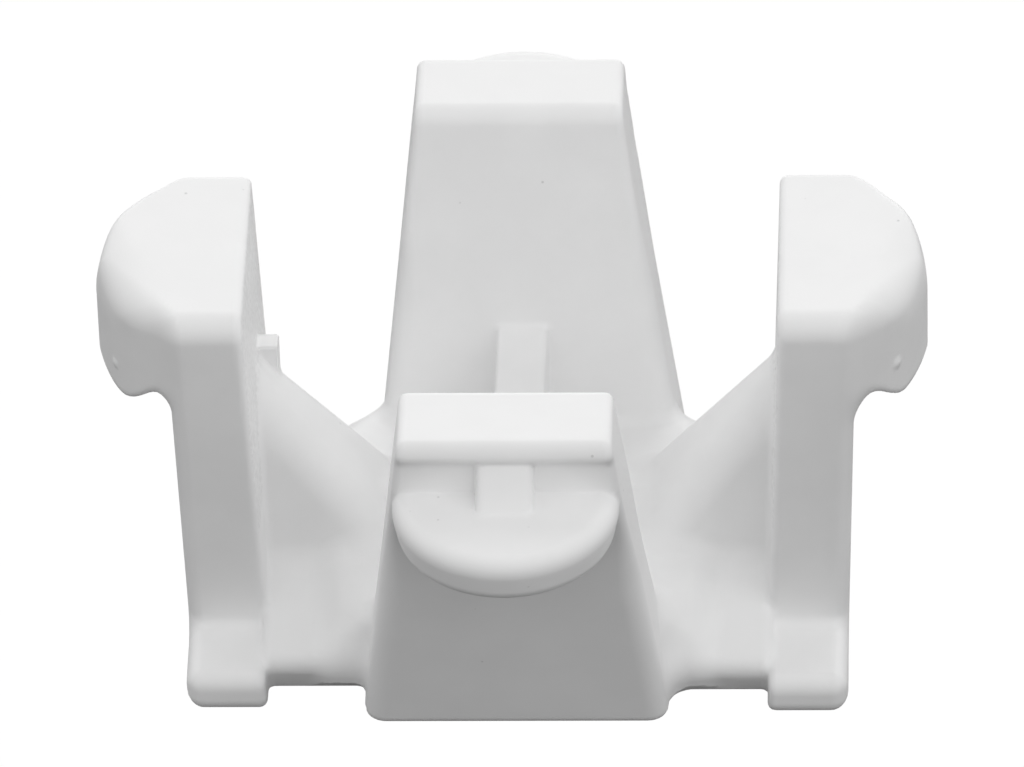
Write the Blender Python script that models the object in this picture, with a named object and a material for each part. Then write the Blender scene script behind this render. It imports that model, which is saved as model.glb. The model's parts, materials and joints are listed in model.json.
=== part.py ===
"""One-piece moulded nylon retaining clip with four upright fingers in a plus plan.

Frame: metres, +Z up, origin at the centre of the resting face. The two ledged
fingers stand on the Y axis (front is -Y) and the two hooked arms on the X axis.
The moulding is divided only where it flexes, so each flexing member is a node.
"""

import math

import bmesh
import bpy
from mathutils import Matrix, Vector

MM = 0.001
GAP = 0.3 * MM                      # clearance left at each flexure cut
SHARP_ANGLE = 30                    # corners sharper than this many degrees stay sharp

# Heights above the resting face
TOP_Z = 20.65 * MM                  # all four fingers end level
LIP_Z = 19.6 * MM                   # underside of the lip on a ledged finger
LEDGE_Z = 17.7 * MM                 # half-round ledge below the lip
RIM_Z = 15.4 * MM                   # underside of the half-round ledge
FINGER_CUT_Z = 9.8 * MM             # where the ledged fingers flex
WEB_TOP_Z = 9.5 * MM                # thin web that ties the roots of the two fingers
FLOOR_Z = 4.7 * MM                  # hub floor between the fingers

# Ledged fingers, measured outward along |Y| and sideways along |X|
INNER_TOP_Y = 10.95 * MM            # the fingers lean outward as they rise
INNER_LEAN = 0.2685
LIP_Y = 15.5 * MM
WALL_Y = 15.05 * MM                 # recess wall between lip and ledge
LEDGE_Y = 15.2 * MM                 # centre of the half-round ledge
LEDGE_RADIUS = 5.5 * MM
FACE_RIM_Y = 14.6 * MM              # outer face just under the ledge
FACE_FOOT_Y = 10.9 * MM            # and at the resting face
HALF_TOP = 5.05 * MM
HALF_FOOT = 7.45 * MM
WEB_HALF = 1.25 * MM
LIP_RIB_HALF = 1.35 * MM
LIP_RIB_REACH = 1.75 * MM
LIP_EDGE = 0.35 * MM

# Hooked arms, measured outward along |X| and sideways along |Y|
ARM_CUT_X = 8.45 * MM               # where the arms flex
ARM_AXIS_Z = 6.2 * MM
ARM_IN_TOP_X = 12.8 * MM
ARM_IN_FOOT_X = 12.1 * MM
NECK_OUT_TOP_X = 16.4 * MM
NECK_OUT_FOOT_X = 16.0 * MM
NECK_HALF_TOP = 6.05 * MM
NECK_HALF_FOOT = 6.25 * MM
HEAD_TIP_X = 20.35 * MM
HEAD_SIDE_X = 15.9 * MM             # where the straight sides of the head end
HEAD_TIP_HALF = 1.1 * MM
HEAD_NECK_Z = 15.5 * MM             # underside of the head, at the neck
HEAD_BARB_Z = 14.0 * MM             # and at the barb near the tip
FOOT_NECK_Z = 2.5 * MM              # top of the foot, at the neck
FOOT_EDGE_Z = 2.0 * MM
FOOT_HALF = 10.4 * MM

# Gussets between the arms and the hub, with the flared plate under them
GUSSET_ARM_Z = 14.0 * MM
GUSSET_HUB_Z = 8.4 * MM
GUSSET_HALF = 1.7 * MM
RIB_HALF_PLATE = 3.1 * MM
PLATE_RIB_Z = 3.65 * MM
PLATE_EDGE_Z = 1.9 * MM
PLATE_HALF = 9.1 * MM
ROUND = 0.9 * MM                    # rounding of the plate's and feet's long edges
CORNER = ((8.3 * MM, 6.3 * MM), (7.7 * MM, 7.1 * MM), (6.9 * MM, 8.5 * MM))
TAB_REACH = 0.95 * MM
TAB_DEPTH = 1.2 * MM
TAB_HEIGHT = 2.1 * MM

OVERLAP = 0.2 * MM                  # how far joined shapes run into each other

# World axes of an outline's u, its v and its depth
X_Z_Y = ((1, 0, 0), (0, 0, 1), (0, -1, 0))
Y_Z_X = ((0, 1, 0), (0, 0, 1), (1, 0, 0))
X_Y_Z = ((1, 0, 0), (0, 1, 0), (0, 0, 1))


def new_collection(name):
    collection = bpy.data.collections.new(name)
    bpy.context.scene.collection.children.link(collection)
    return collection


def nylon(name):
    """White nylon: an opaque, slightly warm, satin plastic."""
    material = bpy.data.materials.new(name)
    material.use_nodes = True
    shader = material.node_tree.nodes["Principled BSDF"]
    shader.inputs["Base Color"].default_value = (0.86, 0.86, 0.85, 1.0)
    shader.inputs["Roughness"].default_value = 0.5
    shader.inputs["Metallic"].default_value = 0.0
    return material


def mesh_object(name, mesh, collection):
    obj = bpy.data.objects.new(name, mesh)
    collection.objects.link(obj)
    return obj


def tidy(mesh):
    """Weld a mesh and turn its faces outward."""
    shape = bmesh.new()
    shape.from_mesh(mesh)
    bmesh.ops.remove_doubles(shape, verts=shape.verts, dist=1e-7)
    bmesh.ops.recalc_face_normals(shape, faces=shape.faces)
    shape.to_mesh(mesh)
    shape.free()


def prism(name, outline, half_depth, axes, collection, centre=0.0):
    """Extrude a closed 2D outline; axes gives the world axes of its u, v and depth."""
    curve = bpy.data.curves.new(name, 'CURVE')
    curve.dimensions = '2D'
    curve.fill_mode = 'BOTH'
    curve.extrude = half_depth
    spline = curve.splines.new('POLY')
    spline.points.add(len(outline) - 1)
    for point, (u, v) in zip(spline.points, outline):
        point.co = (u, v, 0.0, 1.0)
    spline.use_cyclic_u = True
    source = bpy.data.objects.new(name + "_curve", curve)
    collection.objects.link(source)
    graph = bpy.context.evaluated_depsgraph_get()
    mesh = bpy.data.meshes.new_from_object(source.evaluated_get(graph))
    bpy.data.objects.remove(source)
    bpy.data.curves.remove(curve)
    turn = Matrix([Vector(axis) for axis in axes]).transposed()
    shift = Matrix.Translation(Vector(axes[2]) * centre)
    mesh.transform(shift @ turn.to_4x4())
    tidy(mesh)
    return mesh_object(name, mesh, collection)


def box(name, low, high, collection):
    """A box primitive between two corners."""
    shape = bmesh.new()
    bmesh.ops.create_cube(shape, size=1.0)
    bmesh.ops.scale(shape, vec=Vector(high) - Vector(low), verts=shape.verts)
    bmesh.ops.translate(shape, vec=(Vector(high) + Vector(low)) / 2, verts=shape.verts)
    mesh = bpy.data.meshes.new(name)
    shape.to_mesh(mesh)
    shape.free()
    return mesh_object(name, mesh, collection)


def combine(target, tool, operation, cutters):
    """Give target a live Boolean with tool, and keep tool as a hidden guide."""
    modifier = target.modifiers.new(tool.name, 'BOOLEAN')
    modifier.operation = operation
    modifier.solver = 'EXACT'
    modifier.object = tool
    tool.hide_render = True
    tool.display_type = 'WIRE'
    for owner in tool.users_collection:
        owner.objects.unlink(tool)
    cutters.objects.link(tool)


def finish_part(obj):
    obj.data.materials.append(nylon(obj.name + "_nylon"))
    obj.data.shade_smooth()
    obj.data.set_sharp_from_angle(angle=math.radians(SHARP_ANGLE))


def blend(low, high, share):
    return low + (high - low) * share


def inner_y(z):
    """|Y| of a ledged finger's inner face at height z."""
    return INNER_TOP_Y - INNER_LEAN * (TOP_Z - z)


def face_y(z):
    """|Y| of a ledged finger's overhanging outer face at height z."""
    return blend(FACE_FOOT_Y, FACE_RIM_Y, z / RIM_Z)


def finger_sides(name, cutters):
    """Tapered block that trims a Y-Z profile to the fingers' sloping sides."""
    outline = [(HALF_FOOT, 0.0), (HALF_TOP, TOP_Z)]
    return prism(name, mirrored(outline), LIP_Y + LEDGE_RADIUS, X_Z_Y, cutters)


def half_round_ledge(name, side, cutters):
    """Half disc that stands out of the finger's outer face."""
    shape = bmesh.new()
    bmesh.ops.create_cone(shape, cap_ends=True, segments=48, radius1=LEDGE_RADIUS,
                          radius2=LEDGE_RADIUS, depth=LEDGE_Z - RIM_Z)
    place = Matrix.Translation((0, side * LEDGE_Y, (LEDGE_Z + RIM_Z) / 2))
    bmesh.ops.transform(shape, matrix=place, verts=shape.verts)
    whole = shape.verts[:] + shape.edges[:] + shape.faces[:]
    cut = bmesh.ops.bisect_plane(shape, geom=whole, plane_no=(0, side, 0), clear_inner=True,
                                 plane_co=(0, side * (FACE_RIM_Y - OVERLAP), 0))
    rim = [item for item in cut["geom_cut"] if isinstance(item, bmesh.types.BMEdge)]
    bmesh.ops.contextual_create(shape, geom=rim)
    mesh = bpy.data.meshes.new(name)
    shape.to_mesh(mesh)
    shape.free()
    tidy(mesh)
    return mesh_object(name, mesh, cutters)


def build_finger(name, side, parts, cutters):
    """Upper, flexing part of a ledged finger; side is -1 at the front, 1 at the rear."""
    foot_z = FINGER_CUT_Z + GAP / 2
    profile = [
        (inner_y(foot_z), foot_z),
        (face_y(foot_z), foot_z),
        (FACE_RIM_Y, RIM_Z),
        (WALL_Y, LEDGE_Z),
        (WALL_Y, LIP_Z),
        (LIP_Y, LIP_Z + LIP_EDGE),
        (LIP_Y, TOP_Z - LIP_EDGE),
        (LIP_Y - LIP_EDGE, TOP_Z),
        (INNER_TOP_Y + LIP_EDGE, TOP_Z),
        (inner_y(TOP_Z - LIP_EDGE), TOP_Z - LIP_EDGE),
    ]
    outline = [(side * y, z) for y, z in profile]
    finger = prism(name, outline, HALF_FOOT, Y_Z_X, parts)
    combine(finger, finger_sides(name + "_sides", cutters), 'INTERSECT', cutters)
    combine(finger, half_round_ledge(name + "_ledge", side, cutters), 'UNION', cutters)

    rib = [
        (side * (WALL_Y - OVERLAP), LEDGE_Z - OVERLAP),
        (side * (WALL_Y + LIP_RIB_REACH), LEDGE_Z - OVERLAP),
        (side * (WALL_Y + LIP_RIB_REACH), LEDGE_Z + OVERLAP),
        (side * (LIP_Y - OVERLAP / 2), LIP_Z + OVERLAP),
        (side * (WALL_Y - OVERLAP), LIP_Z + OVERLAP),
    ]
    rib_block = prism(name + "_lip_rib", rib, LIP_RIB_HALF, Y_Z_X, cutters)
    combine(finger, rib_block, 'UNION', cutters)
    finish_part(finger)
    return finger


def rounded_side(half, edge_z):
    """Section points up a side that is rounded from the resting face to a sloping top."""
    return [(half - ROUND * 0.6, 0.0), (half - ROUND * 0.15, ROUND * 0.25),
            (half, ROUND * 0.65), (half - ROUND * 0.25, edge_z * 0.9),
            (half - ROUND, edge_z + ROUND * 0.2)]


def mirrored(points):
    """Close an outline by mirroring its points in u."""
    return points + [(-u, v) for u, v in reversed(points)]


def rib_section():
    """Y-Z section shared by the hub and the arms: a drafted rib on a flared plate."""
    points = rounded_side(PLATE_HALF, PLATE_EDGE_Z)
    points += [(RIB_HALF_PLATE, PLATE_RIB_Z), (GUSSET_HALF, GUSSET_ARM_Z)]
    return mirrored(points)


def gusset_z(x):
    """Height of the gussets' sloping top at |X| = x."""
    rise = (GUSSET_ARM_Z - GUSSET_HUB_Z) / (ARM_IN_TOP_X - ARM_CUT_X)
    return max(GUSSET_HUB_Z + rise * (x - ARM_CUT_X), FLOOR_Z)


def build_head(name, side, cutters):
    """Hooked head: a blunt nose in plan with a barbed underside."""
    steps = 6
    nose = []
    for step in range(steps + 1):
        share = step / steps
        bulge = math.sin(math.pi * share) * 0.5 * MM
        nose.append((blend(HEAD_SIDE_X, HEAD_TIP_X, share) + bulge * 0.5 * (1 - share),
                     blend(NECK_HALF_TOP, HEAD_TIP_HALF, share) + bulge))
    half_plan = [(ARM_IN_TOP_X + OVERLAP, NECK_HALF_TOP)] + nose
    plan = [(side * x, y) for x, y in half_plan]
    plan += [(x, -y) for x, y in reversed(plan)]
    half_height = (TOP_Z - HEAD_BARB_Z) / 2 + OVERLAP
    head = prism(name + "_head", plan, half_height, X_Y_Z, cutters,
                 centre=TOP_Z + OVERLAP - half_height)
    inner_x = ARM_IN_TOP_X + OVERLAP
    profile = [
        (inner_x, HEAD_NECK_Z - OVERLAP), (NECK_OUT_TOP_X, HEAD_NECK_Z),
        (blend(NECK_OUT_TOP_X, HEAD_TIP_X, 0.3), HEAD_NECK_Z + 0.05 * MM),
        (blend(NECK_OUT_TOP_X, HEAD_TIP_X, 0.7), HEAD_BARB_Z),
        (blend(NECK_OUT_TOP_X, HEAD_TIP_X, 0.9), HEAD_BARB_Z + 0.05 * MM),
        (HEAD_TIP_X, HEAD_BARB_Z + 0.8 * MM), (HEAD_TIP_X, TOP_Z - 1.1 * MM),
        (HEAD_TIP_X - 0.4 * MM, TOP_Z - 0.55 * MM), (HEAD_TIP_X - 1.2 * MM, TOP_Z - 0.2 * MM),
        (HEAD_TIP_X - 2.6 * MM, TOP_Z), (inner_x, TOP_Z),
    ]
    shape = prism(name + "_head_shape", [(side * x, z) for x, z in profile], FOOT_HALF,
                  X_Z_Y, cutters)
    combine(head, shape, 'INTERSECT', cutters)
    return head


def build_arm(name, side, parts, cutters):
    """Hooked arm with its foot, flared plate and gusset; side is -1 left, 1 right."""
    start_x = ARM_CUT_X + GAP / 2
    end_x = ARM_IN_FOOT_X + 4 * OVERLAP

    # Neck and foot: a flared section along Y cut to the arm's inclined faces
    section = rounded_side(FOOT_HALF, FOOT_EDGE_Z)
    section += [(NECK_HALF_FOOT, FOOT_NECK_Z), (NECK_HALF_TOP, TOP_Z)]
    reach = (NECK_OUT_TOP_X - ARM_IN_FOOT_X) / 2 + GAP
    arm = prism(name, mirrored(section), reach, Y_Z_X, parts,
                centre=side * (ARM_IN_FOOT_X + NECK_OUT_TOP_X) / 2)
    faces = [
        (ARM_IN_FOOT_X, -GAP), (NECK_OUT_FOOT_X, -GAP), (NECK_OUT_FOOT_X, FOOT_NECK_Z),
        (NECK_OUT_TOP_X, HEAD_NECK_Z), (NECK_OUT_TOP_X, TOP_Z + GAP), (ARM_IN_TOP_X, TOP_Z + GAP),
    ]
    trim = prism(name + "_faces", [(side * x, z) for x, z in faces], FOOT_HALF + GAP,
                 X_Z_Y, cutters)
    combine(arm, trim, 'INTERSECT', cutters)
    combine(arm, build_head(name, side, cutters), 'UNION', cutters)

    # Gusset: the hub's rib section carried on under a sloping top
    gusset = prism(name + "_gusset", rib_section(), (end_x - start_x) / 2, Y_Z_X,
                   cutters, centre=side * (start_x + end_x) / 2)
    near_x, far_x = start_x - 1 * MM, end_x + 1 * MM
    above = [(near_x, gusset_z(near_x)), (far_x, gusset_z(far_x)), (far_x, TOP_Z),
             (near_x, TOP_Z)]
    slope = prism(name + "_gusset_slope", [(side * x, z) for x, z in above], FOOT_HALF,
                  X_Z_Y, cutters)
    combine(gusset, slope, 'DIFFERENCE', cutters)
    combine(arm, gusset, 'UNION', cutters)

    if side < 0:
        tab_x = blend(ARM_IN_FOOT_X, ARM_IN_TOP_X, GUSSET_ARM_Z / TOP_Z) - TAB_REACH
        base_z = gusset_z(tab_x) - OVERLAP
        tab = box(name + "_tab", (side * ARM_IN_TOP_X, GUSSET_HALF - TAB_DEPTH, base_z),
                  (side * tab_x, GUSSET_HALF - 0.05 * MM, base_z + TAB_HEIGHT), cutters)
        combine(arm, tab, 'UNION', cutters)
    finish_part(arm)
    return arm


def build_hub(parts, cutters):
    """Root: the cross rib on its plate, the centre web and the roots of the fingers."""
    top_z = FINGER_CUT_Z - GAP / 2
    profile = [(FACE_FOOT_Y, 0.0), (face_y(top_z), top_z), (inner_y(top_z), top_z),
               (inner_y(FLOOR_Z), FLOOR_Z)]
    hub = prism("hub", mirrored(profile), HALF_FOOT, Y_Z_X, parts)
    combine(hub, finger_sides("hub_sides", cutters), 'INTERSECT', cutters)

    reach = ARM_CUT_X - GAP / 2
    rib = prism("hub_rib", rib_section(), reach, Y_Z_X, cutters)
    floor_x = ARM_CUT_X - (GUSSET_HUB_Z - FLOOR_Z) * (ARM_IN_TOP_X - ARM_CUT_X) / (
        GUSSET_ARM_Z - GUSSET_HUB_Z)
    far_x = ARM_CUT_X + GAP
    above = [(floor_x, FLOOR_Z), (far_x, gusset_z(far_x)), (far_x, TOP_Z)]
    valley = prism("hub_valley", mirrored(above), FOOT_HALF, X_Z_Y, cutters)
    combine(rib, valley, 'DIFFERENCE', cutters)
    combine(hub, rib, 'UNION', cutters)

    plan = [(x, -y) for x, y in reversed(CORNER)] + list(CORNER)
    corners = prism("hub_corners", mirrored(plan), FLOOR_Z / 2, X_Y_Z, cutters,
                    centre=FLOOR_Z / 2)
    combine(hub, corners, 'UNION', cutters)

    web_y = inner_y(WEB_TOP_Z) + OVERLAP
    web = box("hub_web", (-WEB_HALF, -web_y, FLOOR_Z - OVERLAP),
              (WEB_HALF, web_y, WEB_TOP_Z), cutters)
    combine(hub, web, 'UNION', cutters)
    finish_part(hub)
    return hub


def set_origin(obj, point):
    """Move an object's origin onto its flexure axis without moving its shape."""
    obj.data.transform(Matrix.Translation(-Vector(point)))
    obj.location = point


def main():
    for obj in list(bpy.data.objects):
        bpy.data.objects.remove(obj)
    parts = new_collection("moulded_retaining_clip")
    cutters = new_collection("cutters_and_guides")
    build_hub(parts, cutters)
    for name, side in (("front_finger", -1), ("rear_finger", 1)):
        finger = build_finger(name, side, parts, cutters)
        set_origin(finger, (0, side * inner_y(FINGER_CUT_Z), FINGER_CUT_Z))
    for name, side in (("left_hook_arm", -1), ("right_hook_arm", 1)):
        arm = build_arm(name, side, parts, cutters)
        set_origin(arm, (side * ARM_CUT_X, 0, ARM_AXIS_Z))


main()
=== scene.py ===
"""Looks for the moulded retaining clip: one seamless white nylon moulding.

The whole moulding is described by one signed distance field, so every corner has the
soft moulded radius of the real thing. The field is meshed once and then parted at the
flexure planes of the frame, into one member for each CAD body.
"""

import json
import math

import bmesh
import bpy
import numpy as np
from mathutils import Matrix, Vector


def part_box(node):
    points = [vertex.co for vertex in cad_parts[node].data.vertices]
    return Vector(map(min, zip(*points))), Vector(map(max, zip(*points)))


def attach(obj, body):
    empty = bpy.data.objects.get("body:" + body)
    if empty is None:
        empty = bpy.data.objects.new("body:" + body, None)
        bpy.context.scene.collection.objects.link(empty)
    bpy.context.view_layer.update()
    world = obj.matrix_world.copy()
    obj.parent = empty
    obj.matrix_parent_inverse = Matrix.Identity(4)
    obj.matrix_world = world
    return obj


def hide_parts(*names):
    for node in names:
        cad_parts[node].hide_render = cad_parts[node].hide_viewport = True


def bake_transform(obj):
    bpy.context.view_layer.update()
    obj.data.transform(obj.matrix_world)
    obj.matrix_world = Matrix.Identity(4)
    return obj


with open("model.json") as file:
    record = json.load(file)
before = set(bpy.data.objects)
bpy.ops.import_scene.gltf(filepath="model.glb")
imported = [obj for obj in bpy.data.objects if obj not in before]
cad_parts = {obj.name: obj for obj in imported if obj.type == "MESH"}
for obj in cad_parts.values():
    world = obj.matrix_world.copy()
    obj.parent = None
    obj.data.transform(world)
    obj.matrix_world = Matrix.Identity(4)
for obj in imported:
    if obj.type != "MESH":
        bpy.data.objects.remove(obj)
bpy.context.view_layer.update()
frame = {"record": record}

MM = 0.001
STEP = 0.2                   # spacing of the sampling grid, mm
PAD = 3                      # empty grid cells round the part
PULLS = 3                    # times that the points are pulled onto the skin
SAMPLE = 0.02                # offset for slopes of the field, mm
LEAST_SLOPE = 0.2
WELD = 0.02                  # a cut reuses a corner that is this close, mm


# ---------------------------------------------------------------- driving sizes, from the frame

def far_corner(node):
    """Highest corner of a CAD node's box, in mm."""
    return [float(part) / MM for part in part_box(node)[1]]


def joint_mm(name):
    """Where a joint of the record sits, in mm."""
    joints = frame["record"]["behaviour"]["joints"]
    found = [joint for joint in joints if joint["name"] == name]
    return np.array(found[0]["pos_m"]) / MM


TIP, _, TOP = far_corner("right_hook_arm")     # outermost point of a head; all ends are level
LEDGE_TIP = far_corner("rear_finger")[1]       # outermost point of a ledge
ARM_CUT = abs(float(joint_mm("right_arm_flex")[0]))
FINGER_CUT = float(joint_mm("rear_finger_flex")[2])

# Ledged fingers
INNER_TOP = 10.95            # |Y| of the inner face at the top
INNER_LEAN = 0.16            # its lean there
INNER_CURVE = 0.0068         # how fast the lean grows below
MEAN_LEAN = 0.27
FOOT_Y = 10.95               # |Y| of the outer face at the foot
FACE_LEAN = 0.234            # outward lean of the outer face
WALL = 15.05                 # recess wall between lip and ledge
LIP = 15.5                   # |Y| of the lip
LIP_Z = 19.6                 # underside of the lip
LIP_EDGE = 0.45
LIP_FILLET = 0.5
LEDGE_Z = 17.7               # top of the ledge
LEDGE_THICK = 2.7
LEDGE_EDGES = (1.05, 0.9)    # radii of its upper and lower rims
LEDGE_DRAFT = 0.2            # how fast its rim draws in below
LEDGE_RADIUS = 5.55
LEDGE_Y = LEDGE_TIP - LEDGE_RADIUS
SIDE_TOP = 5.05              # half width at the top
SIDE_FOOT = 7.45
SIDE_EDGE = (0.4, 1.1)       # radius of the upright edges, at and beyond each end of SIDE_SPAN
SIDE_SPAN = (16, 10)
REAR_TOP_EDGES = (0.8, 0.4)  # radii of the inner and outer top edges
FRONT_TOP_EDGES = (0.4, 0.95)
FINGER_FOOT_EDGES = (0.6, 0.9)
LEDGE_FILLET = 0.12
FLANK_FLARE = 0.045          # extra taper of the rear finger's right side
FLANK_Z = 16.5
RIB_HALF = 1.35              # rib under the lip
RIB_REACH = 16.8
RIB_LEAN = 0.75
RIB_EDGE = 0.35
WEB_HALF = 1.25              # centre web between the fingers
WEB_Z = 9.5
WEB_REACH = 9.0
WEB_EDGE = 0.2

# Hooked arms
INNER_FOOT_X = 12.1
INNER_TOP_X = 12.8
OUTER_FOOT_X = 16.0
OUTER_TOP_X = 16.4
NECK_HALF = 6.05
NECK_FLARE = 0.2
NECK_FILLET = 0.5
UNDER_Z = 15.6               # underside of the head
UNDER_SCALE = 0.85           # turns the height under the hanging barb into a distance
BARB_DROP = 1.5              # how far the barb hangs below it
BARB_SPAN = (16.9, 18.9)
NOSE_CENTRE = (10.16, -2.97)
NOSE_RADIUS = 10.78
NOSE_SIDE = 0.35             # how far its flanks lie outside the neck's
NOSE_EDGE = (0.4, 2.4)       # radius of its flanks, at the back and at the front
FRONT_SPAN = (3, -3)         # Y from the back to the front of that change
TIP_RISE = 1.2               # how far above the top the tip's round starts
TIP_EDGE = 3.6
TIP_BLUNT = (0.6, 1.5)       # radius between tip and nose, back and front
TIP_SHORT = 0.3              # the right head is this much shorter than the left
NOSE_SHORT = 0.05
HOOK_EDGE = 0.7
HOOK_FILLETS = (0.8, 1.5)    # under the left and the right head
HEAD_SPAN = (15, 18.5)       # |X| from the upright to the head
ARM_EDGE = (0.8, 1.6)        # radius of the upright edges, from upright to head
TOP_EDGE_BACK = 0.4
TOP_EDGE_FRONT = (1.2, 1.5)
ARM_INNER_EDGE = 0.4
FOOT_Z = 2.5                 # top of the foot at the neck
FOOT_SLOPE = 0.08
FOOT_HALF = 10.08
FOOT_EDGES = (0.8, 0.9)      # radii of its upper and resting edges
SKEW = 0.33                  # extra width of the right foot and plate
SKEW_SPAN = (-8, 8)

# Gussets, plate and hub
RIDGE_Z = 8.65               # height of the gusset ridge at the flexure plane
RIDGE_RISE = 1.287
RIDGE_EDGE = 1.7
GUSSET_HALF = 1.9            # at GUSSET_TOP_Z
GUSSET_TOP_Z = 13.6
GUSSET_DRAFT = 0.2
GUSSET_OVERLAP = 1.5         # how far it runs on inside the arm
ROOT_Z = 1                   # ribs and web end here, inside the plate
PLATE_HALF = 9.35            # at the top of its edge
PLATE_EDGE_Z = 2.4
PLATE_UNDERCUT = 0.5
PLATE_Z = 4.4                # top of the plate, at the rib
PLATE_RIB = 4.2
PLATE_SLOPE = 0.4
PLATE_EDGES = (0.9, 0.5)     # radii of its upper and resting edges
PLATE_OVERLAP = (0.25, 0.7)  # how far it laps the foot, and how much further the upright
PLATE_SPAN = (6.2, 5.6)      # |Y| of that change
PLATE_END_EDGE = 0.5
FLOOR_Z = 4.7                # floor between the fingers
HUB_X = 9.0
HUB_Y = 8.6
HUB_LOW_Z = 1.6
HUB_CORNER = (0.844, 0.537)  # plan direction of the filled corners of the floor
HUB_REACH = 10.39
HUB_DRAFT = 0.9
HUB_EDGES = (0.6, 0.5)       # radii in plan and at the floor
TAB = (-12.1, 1.05, 13.2)    # centre of the tab on the left gusset
TAB_SIZE = (0.5, 0.45, 1.0)
TAB_ROUND = 0.08
GATES = ((-18.95, -2.85, 16.1), (18.3, -3.7, 16.6))
GATE_RADIUS = 0.3

# Fillets where two features meet
PLATE_TO_GUSSET = 0.7
PLATE_TO_HUB = 1.4
PLATE_TO_ARM = 0.35
LIP_RIB_FILLET = 0.1
HUB_TO_FINGER = 0.6
FRONT_RIGHT_EXTRA = 0.6      # extra at the foot of the front finger's right side
WEB_FILLET = 0.25
DETAIL_FILLET = 0.15


# ---------------------------------------------------------------- distance field, in mm

def round_union(a, b, radius):
    """Join two fields with a concave fillet."""
    reach_a = np.maximum(radius - a, 0)
    reach_b = np.maximum(radius - b, 0)
    return np.maximum(radius, np.minimum(a, b)) - np.hypot(reach_a, reach_b)


def round_cut(a, b, radius):
    """Intersect two fields with a rounded edge."""
    return -round_union(-a, -b, radius)


def slope(run, rise):
    """Scale that turns a vertical or level offset from a slanted face into a distance."""
    return run / math.hypot(run, rise)


def ease(value, start, end):
    """0 before start, 1 after end, and a smooth step between."""
    share = np.clip((value - start) / (end - start), 0, 1)
    return share * share * (3 - 2 * share)


def between(pair, share):
    """Value on the way from the first to the second of a pair."""
    return pair[0] + (pair[1] - pair[0]) * share


def finger_field(x, y, z):
    """One ledged finger, standing on |Y|, from the resting face to its lip."""
    ax, ay = np.abs(x), np.abs(y)
    drop = np.minimum(TOP - z, TOP)
    inner = INNER_TOP - (INNER_LEAN + INNER_CURVE * drop) * drop - ay
    inner = inner * slope(1, MEAN_LEAN)
    outer = (ay - FOOT_Y - FACE_LEAN * np.minimum(z, LEDGE_Z)) * slope(1, FACE_LEAN)
    outer = np.maximum(outer, ay - WALL)
    lip = round_cut(ay - LIP, LIP_Z - z, LIP_EDGE)
    outer = round_union(outer, lip, LIP_FILLET)
    taper = (SIDE_FOOT - SIDE_TOP) / TOP
    flare = FLANK_FLARE * np.maximum(FLANK_Z - z, 0) * (x > 0) * (y > 0)
    side = (ax - SIDE_FOOT + taper * z - flare) * slope(1, taper)
    body = round_cut(inner, z - TOP, between((REAR_TOP_EDGES[0], FRONT_TOP_EDGES[0]), y < 0))
    body = round_cut(body, outer, between((REAR_TOP_EDGES[1], FRONT_TOP_EDGES[1]), y < 0))
    body = round_cut(body, side, between(SIDE_EDGE, ease(z, *SIDE_SPAN)))
    ledge = np.maximum(ledge_field(ax, ay, z), side)
    body = round_union(body, ledge, LEDGE_FILLET)
    foot = round_cut(side, -z, FINGER_FOOT_EDGES[1])
    return np.maximum(round_cut(body, -z, FINGER_FOOT_EDGES[0]), foot)


def ledge_field(ax, ay, z):
    """Half-round ledge with a bullnosed rim."""
    rim = np.hypot(ax, ay - LEDGE_Y) - LEDGE_RADIUS + LEDGE_DRAFT * (LEDGE_Z - z)
    ledge = round_cut(rim * slope(1, LEDGE_DRAFT), z - LEDGE_Z, LEDGE_EDGES[0])
    ledge = round_cut(ledge, LEDGE_Z - LEDGE_THICK - z, LEDGE_EDGES[1])
    return np.maximum(ledge, WALL - 1 - ay)


def lip_rib_field(ax, ay, z):
    """Small rib that stiffens the lip, in the middle of the recess."""
    front = (ay - RIB_REACH + RIB_LEAN * (z - LEDGE_Z)) * slope(1, RIB_LEAN)
    rib = round_cut(ax - RIB_HALF, front, RIB_EDGE)
    rib = np.maximum(rib, np.maximum(z - LIP_Z - 0.2, LEDGE_Z - 0.4 - z))
    return np.maximum(rib, WALL - 0.5 - ay)


def arm_inner(ax, z):
    """Distance in front of an arm's inner face, which leans outward as it rises."""
    return INNER_FOOT_X + (INNER_TOP_X - INNER_FOOT_X) * z / TOP - ax


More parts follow.
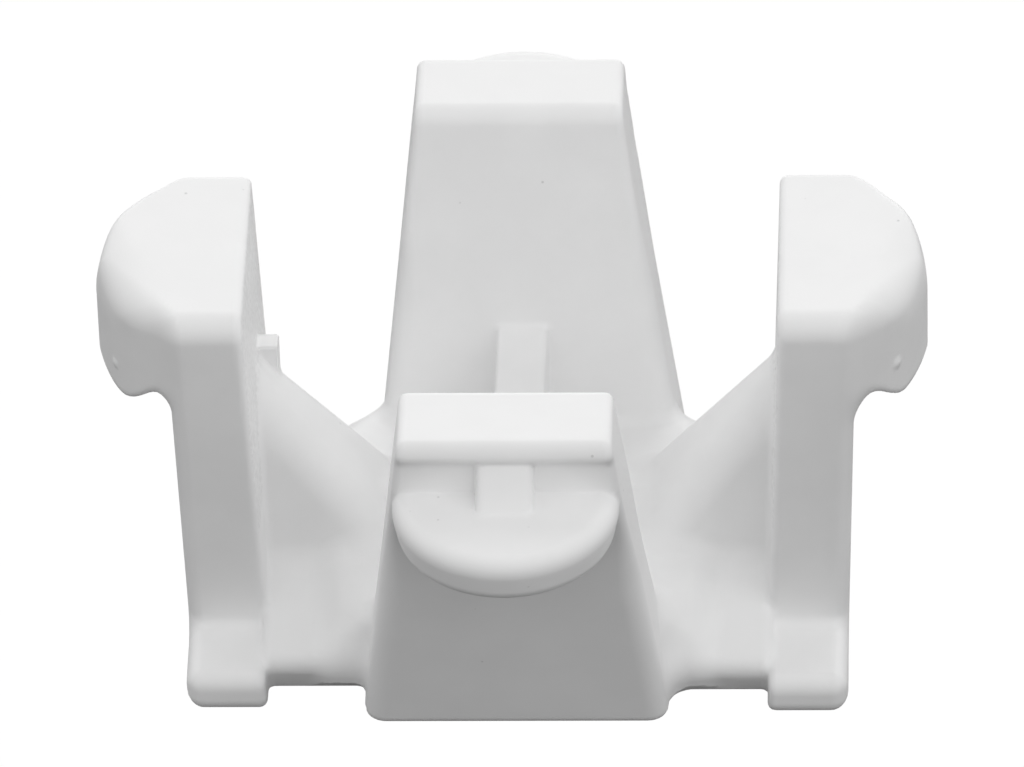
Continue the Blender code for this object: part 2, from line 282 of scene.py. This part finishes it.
def arm_field(x, y, z):
    """Hooked arm: an upright on a flared foot, with a blunt nose and a hanging barb."""
    ax, ay = np.abs(x), np.abs(y)
    outer = ax - OUTER_FOOT_X - (OUTER_TOP_X - OUTER_FOOT_X) * z / UNDER_Z
    side = ay - NECK_HALF - NECK_FLARE * (1 - z / TOP)
    front = ease(y, *FRONT_SPAN)
    nose = np.hypot(ax - NOSE_CENTRE[0], ay - NOSE_CENTRE[1]) - NOSE_RADIUS + NOSE_SHORT * (x > 0)
    nose = round_cut(nose, side - NOSE_SIDE, between(NOSE_EDGE, front))
    tip = round_cut(ax - TIP + TIP_SHORT * (x > 0), z - TOP - TIP_RISE, TIP_EDGE)
    under = (UNDER_Z - BARB_DROP * ease(ax, *BARB_SPAN) - z) * UNDER_SCALE
    hook = round_cut(nose, tip, between(TIP_BLUNT, front))
    hook = round_cut(hook, under, HOOK_EDGE)
    reach = round_union(outer, hook, between(HOOK_FILLETS, x > 0))

    flare = z - FOOT_Z + FOOT_SLOPE * (ay - NECK_HALF)
    foot = round_cut(flare, ay - FOOT_HALF - SKEW * ease(x, *SKEW_SPAN), FOOT_EDGES[0])
    width = round_union(side, foot, NECK_FILLET)

    head = ease(ax, *HEAD_SPAN)
    arm = round_cut(reach, width, between(ARM_EDGE, head))
    top_edge = between((TOP_EDGE_BACK, between(TOP_EDGE_FRONT, head)), front)
    arm = round_cut(arm, z - TOP, top_edge)
    arm = round_cut(arm, -z, FOOT_EDGES[1])
    return round_cut(arm, arm_inner(ax, z), ARM_INNER_EDGE)


def gusset_field(ax, ay, z):
    """Rib with a rounded ridge that slopes from the arm down to the hub floor."""
    ridge = (z - RIDGE_Z - RIDGE_RISE * (ax - ARM_CUT)) * slope(1, RIDGE_RISE)
    side = (ay - GUSSET_HALF - GUSSET_DRAFT * (GUSSET_TOP_Z - z)) * slope(1, GUSSET_DRAFT)
    rib = round_cut(ridge, side, RIDGE_EDGE)
    return np.maximum(rib, np.maximum(ax - INNER_FOOT_X - GUSSET_OVERLAP, ROOT_Z - z))


def plate_field(x, ay, z):
    """Flared plate under the ribs."""
    top = (z - PLATE_Z + PLATE_SLOPE * (ay - PLATE_RIB)) * slope(1, PLATE_SLOPE)
    half = PLATE_HALF + SKEW * ease(x, *SKEW_SPAN)
    edge = (ay - half + PLATE_UNDERCUT * (PLATE_EDGE_Z - z)) * slope(1, PLATE_UNDERCUT)
    plate = round_cut(top, edge, PLATE_EDGES[0])
    plate = round_cut(plate, -z, PLATE_EDGES[1])
    reach = INNER_FOOT_X + PLATE_OVERLAP[0] + PLATE_OVERLAP[1] * ease(ay, *PLATE_SPAN)
    return round_cut(plate, np.abs(x) - reach, PLATE_END_EDGE)


def hub_field(ax, ay, z):
    """Floor between the fingers, filled out at its four corners."""
    corner = HUB_CORNER[0] * ax + HUB_CORNER[1] * ay - HUB_REACH - HUB_DRAFT * (FLOOR_Z - z)
    block = round_cut(corner * slope(1, HUB_DRAFT), ax - HUB_X, HUB_EDGES[0])
    block = round_cut(block, z - FLOOR_Z, HUB_EDGES[1])
    block = round_cut(block, ay - HUB_Y, HUB_EDGES[1])
    return np.maximum(block, HUB_LOW_Z - z)


def details_field(x, y, z):
    """Tab on the left gusset, and the two small gate marks on the heads."""
    tab = np.maximum(np.abs(x - TAB[0]) - TAB_SIZE[0], np.abs(y - TAB[1]) - TAB_SIZE[1])
    tab = np.maximum(tab, np.abs(z - TAB[2]) - TAB_SIZE[2])
    details = tab - TAB_ROUND
    for gate in GATES:
        away = np.sqrt((x - gate[0]) ** 2 + (y - gate[1]) ** 2 + (z - gate[2]) ** 2)
        details = np.minimum(details, away - GATE_RADIUS)
    return details


def moulding(x, y, z):
    """Distance to the skin of the moulding, negative inside."""
    ax, ay = np.abs(x), np.abs(y)
    base = round_union(plate_field(x, ay, z), gusset_field(ax, ay, z), PLATE_TO_GUSSET)
    base = round_union(base, hub_field(ax, ay, z), PLATE_TO_HUB)
    base = round_union(base, arm_field(x, y, z), PLATE_TO_ARM)
    finger = round_union(finger_field(x, y, z), lip_rib_field(ax, ay, z), LIP_RIB_FILLET)
    fillet = HUB_TO_FINGER + FRONT_RIGHT_EXTRA * (x > 0) * (y < 0)
    part = round_union(base, finger, fillet)
    web = round_cut(ax - WEB_HALF, z - WEB_Z, WEB_EDGE)
    web = np.maximum(web, np.maximum(ay - WEB_REACH, ROOT_Z - z))
    part = round_union(part, web, WEB_FILLET)
    part = round_union(part, details_field(x, y, z), DETAIL_FILLET)
    return np.maximum(part, -z)


# ---------------------------------------------------------------- meshing

FINGER_BEND = 3.5            # length of nylon that takes up a bend, in mm
ARM_BEND = 3.0
CAP = 1                      # marks the faces that close a member where it was parted
COARSE_AND_SHADE_X = INNER_FOOT_X - 0.2            # where the arms' inner faces are coarse and get painted shade, in mm
COARSE_AND_SHADE_Z = 8
COARSE_AND_SHADE_FACING = (0.8, 0.98)  # how squarely such a face looks inward


def surface_points(field, low):
    """Dual mesh of the zero level: one point per crossed cell and one quad per crossed edge."""
    inside = field < 0
    shape = np.array(field.shape)
    total = np.zeros(tuple(shape) + (3,), np.float32)
    count = np.zeros(tuple(shape), np.float32)
    crossings = []
    for axis in range(3):
        near = [slice(None)] * 3
        far = [slice(None)] * 3
        near[axis] = slice(0, -1)
        far[axis] = slice(1, None)
        crossed = inside[tuple(near)] != inside[tuple(far)]
        index = np.argwhere(crossed)
        first = field[tuple(near)][crossed]
        second = field[tuple(far)][crossed]
        point = index.astype(np.float32)
        point[:, axis] += first / (first - second)
        u, v = [other for other in range(3) if other != axis]
        cells = []
        for du, dv in ((0, 0), (1, 0), (1, 1), (0, 1)):
            cell = index.copy()
            cell[:, u] -= du
            cell[:, v] -= dv
            flat = np.ravel_multi_index(cell.T, shape)
            for part in range(3):
                np.add.at(total[..., part].reshape(-1), flat, point[:, part])
            np.add.at(count.reshape(-1), flat, 1)
            cells.append(flat)
        quad = np.stack(cells, axis=1)
        turn = (first < 0) == (axis != 1)
        quad[turn] = quad[turn][:, ::-1]
        crossings.append(quad[:, ::-1])
    used = np.flatnonzero(count.reshape(-1))
    number = np.full(count.size, -1)
    number[used] = np.arange(len(used))
    points = total.reshape(-1, 3)[used] / count.reshape(-1)[used, None]
    return low + points * STEP, number[np.concatenate(crossings)]


def gradient(field, points):
    """Unit direction of steepest increase, and its size, by central differences."""
    parts = []
    for axis in range(3):
        offset = np.zeros(3)
        offset[axis] = SAMPLE
        ahead = field(*(points + offset).T)
        behind = field(*(points - offset).T)
        parts.append((ahead - behind) / (2 * SAMPLE))
    slopes = np.stack(parts, axis=1)
    size = np.maximum(np.linalg.norm(slopes, axis=1), LEAST_SLOPE)
    return slopes / size[:, None], size


def mesh_field(field, low, high):
    """Points and quads of a field's skin, in mm."""
    low = np.array(low) - PAD * STEP
    high = np.array(high) + PAD * STEP
    axes = [np.arange(a, b + STEP, STEP) for a, b in zip(low, high)]
    grid = np.meshgrid(*axes, indexing="ij", sparse=True)
    values = field(*grid).astype(np.float32)
    points, quads = surface_points(values, low)
    for _ in range(PULLS):
        normals, size = gradient(field, points)
        pull = np.clip(field(*points.T) / size, -STEP / 2, STEP / 2)
        points = points - normals * pull[:, None]
    return points, quads


def cut_whole(shape, point, normal, keep):
    """Add edges where a plane crosses the faces whose centre passes keep."""
    faces = [face for face in shape.faces if keep(face.calc_center_median())]
    parts = {item for face in faces for item in (*face.verts, *face.edges)}
    bmesh.ops.bisect_plane(shape, geom=list(parts) + faces, dist=WELD,
                           plane_co=point, plane_no=normal)


def member_of(centre):
    """Name of the member that a point of the skin belongs to."""
    if abs(centre.x) > ARM_CUT:
        return "left_hook_arm" if centre.x < 0 else "right_hook_arm"
    if centre.z > FINGER_CUT:
        return "front_finger" if centre.y < 0 else "rear_finger"
    return "hub"


def cap(shape):
    """Close a member where it was parted from its neighbour; returns the new faces."""
    rim = [edge for edge in shape.edges if edge.is_boundary]
    return bmesh.ops.holes_fill(shape, edges=rim, sides=0)["faces"]


def members():
    """The moulding's skin, parted at the flexure planes into closed members, in mm."""
    points, quads = mesh_field(moulding, (-TIP, -LEDGE_TIP, 0), (TIP, LEDGE_TIP, TOP))
    whole = bpy.data.meshes.new("whole")
    whole.from_pydata(points.tolist(), [], quads.tolist())
    shape = bmesh.new()
    shape.from_mesh(whole)
    bpy.data.meshes.remove(whole)
    for side in (-1, 1):
        cut_whole(shape, (side * ARM_CUT, 0, 0), (1, 0, 0), lambda centre: True)
    cut_whole(shape, (0, 0, FINGER_CUT), (0, 0, 1), lambda centre: abs(centre.x) < ARM_CUT)
    made = {}
    for name in ("hub", "front_finger", "rear_finger", "left_hook_arm", "right_hook_arm"):
        member = shape.copy()
        others = [face for face in member.faces
                  if member_of(face.calc_center_median()) != name]
        bmesh.ops.delete(member, geom=others, context="FACES")
        for face in cap(member):
            face.material_index = CAP
        mesh = bpy.data.meshes.new(name + "_skin")
        member.to_mesh(mesh)
        member.free()
        made[name] = mesh
    shape.free()
    return made


def shade(mesh):
    """Scale to metres, with normals from the field so that shading runs on past a parting."""
    mesh.shade_smooth()
    places = np.array([vert.co for vert in mesh.vertices])
    normals, _ = gradient(moulding, places)
    loops = normals[np.array([loop.vertex_index for loop in mesh.loops])]
    for face in mesh.polygons:
        if face.material_index == CAP:
            loops[face.loop_start:face.loop_start + face.loop_total] = face.normal
            face.material_index = 0
    # Mask of the arms' inner faces, stored as "grain": the grain is deeper there, and the
    # material paints shade on them.
    inward = -normals[:, 0] * np.sign(places[:, 0])
    on_arm = (np.abs(places[:, 0]) > COARSE_AND_SHADE_X) & (places[:, 2] > COARSE_AND_SHADE_Z)
    grain = mesh.attributes.new("grain", "FLOAT", "POINT")
    grain.data.foreach_set("value", ease(inward, *COARSE_AND_SHADE_FACING) * on_arm)
    mesh.transform(Matrix.Scale(MM, 4))
    mesh.normals_split_custom_set(loops.tolist())


# ---------------------------------------------------------------- material

CLOUD_SCALE = 260            # cells per metre
CLOUD_RANGE = (0.3, 0.7)     # part of the cloudy noise that is used
TONE = (0.885, 0.91)
ROUGHNESS = (0.47, 0.56)
IOR = 1.5
# Mottled darkening of the arms' inner faces: partly their coarse mottle, partly painted shade.
MOTTLE_SCALE = 3800
MOTTLE_RANGE = (0.35, 0.65)
MOTTLE_AND_PAINTED_SHADE = 0.1
DUST_SCALE = 700
DUST_RANGE = (0.03, 0.07)    # size of a speck, as a share of its cell
DUST_DARK = 0.2
DUST_SHARE = 0.75            # cells above this share hold a speck
GRAIN_SCALE = 8500
GRAIN_STRENGTH = 0.5
GRAIN_DEPTH = 0.000006       # metres
GRAIN_EXTRA = 2.0            # how much deeper it is on the coarse faces


def nylon():
    """White nylon with a fine moulded grain, slightly uneven tone, a few dust specks, and mottled
    painted shade on the arms' inner faces.
    """
    material = bpy.data.materials.new("white_nylon")
    material.use_nodes = True
    nodes = material.node_tree.nodes
    links = material.node_tree.links
    shader = nodes["Principled BSDF"]
    shader.inputs["IOR"].default_value = IOR
    place = nodes.new("ShaderNodeTexCoord").outputs["Object"]
    coarse_and_shade_mask = nodes.new("ShaderNodeAttribute")
    coarse_and_shade_mask.attribute_name = "grain"

    cloud = noise(nodes, links, place, CLOUD_SCALE, 3)
    tone = ramp(nodes, links, cloud, CLOUD_RANGE, TONE)
    # Painted shade, in a mottle, darkens the arms' inner faces through the "grain" mask.
    mottle = noise(nodes, links, place, MOTTLE_SCALE, 2)
    mottle_and_painted_shade = ramp(nodes, links, mottle, MOTTLE_RANGE, (MOTTLE_AND_PAINTED_SHADE, 0.0))
    mottle_and_painted_shade = math_node(nodes, links, "MULTIPLY", mottle_and_painted_shade, coarse_and_shade_mask.outputs["Fac"])
    tone = math_node(nodes, links, "SUBTRACT", tone, mottle_and_painted_shade)
    tone = math_node(nodes, links, "SUBTRACT", tone, dust(nodes, links, place))
    grey = nodes.new("ShaderNodeCombineColor")
    for channel in grey.inputs:
        links.new(tone, channel)
    links.new(grey.outputs[0], shader.inputs["Base Color"])

    rough = ramp(nodes, links, cloud, CLOUD_RANGE, ROUGHNESS)
    links.new(rough, shader.inputs["Roughness"])
    grain = noise(nodes, links, place, GRAIN_SCALE, 2)
    height = math_node(nodes, links, "MULTIPLY_ADD", coarse_and_shade_mask.outputs["Fac"], GRAIN_EXTRA, 1.0)
    height = math_node(nodes, links, "MULTIPLY", grain, height)
    bump = nodes.new("ShaderNodeBump")
    bump.inputs["Strength"].default_value = GRAIN_STRENGTH
    bump.inputs["Distance"].default_value = GRAIN_DEPTH
    links.new(height, bump.inputs["Height"])
    links.new(bump.outputs["Normal"], shader.inputs["Normal"])
    return material


def noise(nodes, links, place, scale, detail):
    """Noise value over the part; scale is in cells per metre."""
    node = nodes.new("ShaderNodeTexNoise")
    node.inputs["Scale"].default_value = scale
    node.inputs["Detail"].default_value = detail
    links.new(place, node.inputs["Vector"])
    return node.outputs["Fac"]


def dust(nodes, links, place):
    """Tiny dark specks in a few cells of a scatter."""
    node = nodes.new("ShaderNodeTexVoronoi")
    node.inputs["Scale"].default_value = DUST_SCALE
    links.new(place, node.inputs["Vector"])
    spot = ramp(nodes, links, node.outputs["Distance"], DUST_RANGE, (DUST_DARK, 0.0))
    split = nodes.new("ShaderNodeSeparateColor")
    links.new(node.outputs["Color"], split.inputs[0])
    chosen = math_node(nodes, links, "GREATER_THAN", split.outputs[0], DUST_SHARE)
    return math_node(nodes, links, "MULTIPLY", spot, chosen)


def build_members():
    """The five skins, each in place of its CAD part; the hub's hangs on its body, the others are
    baked where they stand.
    """
    white = nylon()
    finger_bend = ((0, 0, FINGER_CUT), (0, 0, FINGER_CUT + FINGER_BEND))
    bends = {
        "front_finger": finger_bend,
        "rear_finger": finger_bend,
        "left_hook_arm": ((-ARM_CUT, 0, 0), (-ARM_CUT - ARM_BEND, 0, 0)),
        "right_hook_arm": ((ARM_CUT, 0, 0), (ARM_CUT + ARM_BEND, 0, 0)),
    }
    for name, mesh in members().items():
        shade(mesh)
        mesh.materials.append(white)
        skin = bpy.data.objects.new(name + "_skin", mesh)
        bpy.context.scene.collection.objects.link(skin)
        if name in bends:
            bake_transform(skin)
        else:
            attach(skin, name)
        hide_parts(name)


# ---------------------------------------------------------------- floor, light and camera

FLOOR_HEIGHT = -0.0009       # metres
TABLE_HEIGHT = -0.0004
TABLE_GREY = 0.12
SHEET_HALF = 6
HORIZON = (-0.05, 0.05)      # the panel and wings shine only from above this
SKY_WEIGHTS = {"Z": 0.9, "Y": -0.44, "X": 0.03}      # soft light from the front and above
SKY_LEVEL = 0.88
SKY_LEAST = 0.03
KEY_WEIGHTS = {"Z": 0.71, "Y": -0.5, "X": 0.5}       # brighter patch to the right of it
KEY_SPAN = (0.8, 0.98)
KEY_LEVEL = 0.42
PANEL_SPAN = (0.5, 0.9)      # bright panel behind the part
PANEL_LEVEL = 2.0
WING_SPAN = (0.45, 0.95)     # a softer one on each side
WING_LEVEL = 0.74


def plane(name, height, grey, glow):
    """A wide level sheet in one grey that may also glow; not part of the object."""
    shape = bmesh.new()
    bmesh.ops.create_grid(shape, x_segments=1, y_segments=1, size=SHEET_HALF)
    mesh = bpy.data.meshes.new(name)
    shape.to_mesh(mesh)
    shape.free()
    sheet = bpy.data.objects.new(name, mesh)
    sheet.location.z = height
    bpy.context.scene.collection.objects.link(sheet)
    material = bpy.data.materials.new(name)
    material.use_nodes = True
    shader = material.node_tree.nodes["Principled BSDF"]
    shader.inputs["Base Color"].default_value = (grey, grey, grey, 1)
    shader.inputs["Emission Color"].default_value = (grey, grey, grey, 1)
    shader.inputs["Emission Strength"].default_value = glow
    mesh.materials.append(material)
    return sheet


def studio():
    """White floor for the camera, a dim table for the bounce light, and a studio sky."""
    floor = plane("floor", FLOOR_HEIGHT, 1.0, 1.0)
    floor.visible_diffuse = False
    floor.visible_glossy = False
    table = plane("table", TABLE_HEIGHT, TABLE_GREY, 0.0)
    table.visible_camera = False

    world = bpy.data.worlds.new("studio")
    world.use_nodes = True
    bpy.context.scene.world = world
    nodes = world.node_tree.nodes
    links = world.node_tree.links
    place = nodes.new("ShaderNodeTexCoord")
    split = nodes.new("ShaderNodeSeparateXYZ")
    links.new(place.outputs["Generated"], split.inputs[0])
    front = weighted(nodes, links, split, SKY_WEIGHTS)
    sky = math_node(nodes, links, "MULTIPLY", front, SKY_LEVEL)
    sky = math_node(nodes, links, "MAXIMUM", sky, SKY_LEAST)
    right = weighted(nodes, links, split, KEY_WEIGHTS)
    key = ramp(nodes, links, right, KEY_SPAN, (0.0, KEY_LEVEL))
    sky = math_node(nodes, links, "ADD", sky, key)
    above = ramp(nodes, links, split.outputs["Z"], HORIZON, (0.0, 1.0))
    panel = ramp(nodes, links, split.outputs["Y"], PANEL_SPAN, (0.0, PANEL_LEVEL))
    panel = math_node(nodes, links, "MULTIPLY", panel, above)
    aside = math_node(nodes, links, "ABSOLUTE", split.outputs["X"])
    wings = ramp(nodes, links, aside, WING_SPAN, (0.0, WING_LEVEL))
    wings = math_node(nodes, links, "MULTIPLY", wings, above)
    glow = math_node(nodes, links, "ADD", sky, math_node(nodes, links, "ADD", panel, wings))
    nodes["Background"].inputs["Color"].default_value = (1, 1, 1, 1)
    links.new(glow, nodes["Background"].inputs["Strength"])


def math_node(nodes, links, operation, *values):
    """A Math node; each value is a number or another node's output."""
    node = nodes.new("ShaderNodeMath")
    node.operation = operation
    for socket, value in zip(node.inputs, values):
        if isinstance(value, bpy.types.NodeSocket):
            links.new(value, socket)
        else:
            socket.default_value = value
    return node.outputs[0]


def weighted(nodes, links, split, weights):
    """Sum of a direction's parts, each times its weight."""
    total = 0.0
    for axis, weight in weights.items():
        total = math_node(nodes, links, "MULTIPLY_ADD", split.outputs[axis], weight, total)
    return total


def ramp(nodes, links, value, start, end):
    """Smooth step of a value from one range to another."""
    node = nodes.new("ShaderNodeMapRange")
    node.interpolation_type = "SMOOTHSTEP"
    node.inputs["From Min"].default_value, node.inputs["From Max"].default_value = start
    node.inputs["To Min"].default_value, node.inputs["To Max"].default_value = end
    links.new(value, node.inputs["Value"])
    return node.outputs["Result"]


VIEW_ANGLES = (2.7, 38.0, 1.85)          # azimuth, elevation and roll, in degrees
VIEW_DISTANCE = 0.5497       # from the centre of the part's top, metres
VIEW_OFFSET = (0.00001, 0.00647)         # of that centre from the middle of the view
LENS = 402.6
SENSOR = 36


def camera():
    """Long lens from the front and above, a touch to the right."""
    azimuth, elevation, roll = (math.radians(angle) for angle in VIEW_ANGLES)
    back = Vector((math.sin(azimuth) * math.cos(elevation),
                   -math.cos(azimuth) * math.cos(elevation), math.sin(elevation)))
    right = Vector((math.cos(azimuth), math.sin(azimuth), 0))
    up = back.cross(right)
    across = right * math.cos(roll) - up * math.sin(roll)
    upright = right * math.sin(roll) + up * math.cos(roll)
    data = bpy.data.cameras.new("camera")
    data.lens = LENS
    data.sensor_width = SENSOR
    data.clip_end = 10
    eye = bpy.data.objects.new("camera", data)
    place = Vector((0, 0, TOP * MM)) + back * VIEW_DISTANCE
    place = place - across * VIEW_OFFSET[0] - upright * VIEW_OFFSET[1]
    turn = Matrix((across, upright, back)).transposed().to_4x4()
    eye.matrix_world = Matrix.Translation(place) @ turn
    bpy.context.scene.collection.objects.link(eye)
    bpy.context.scene.camera = eye


build_members()
studio()
camera()
bpy.context.scene.view_settings.view_transform = "Standard"
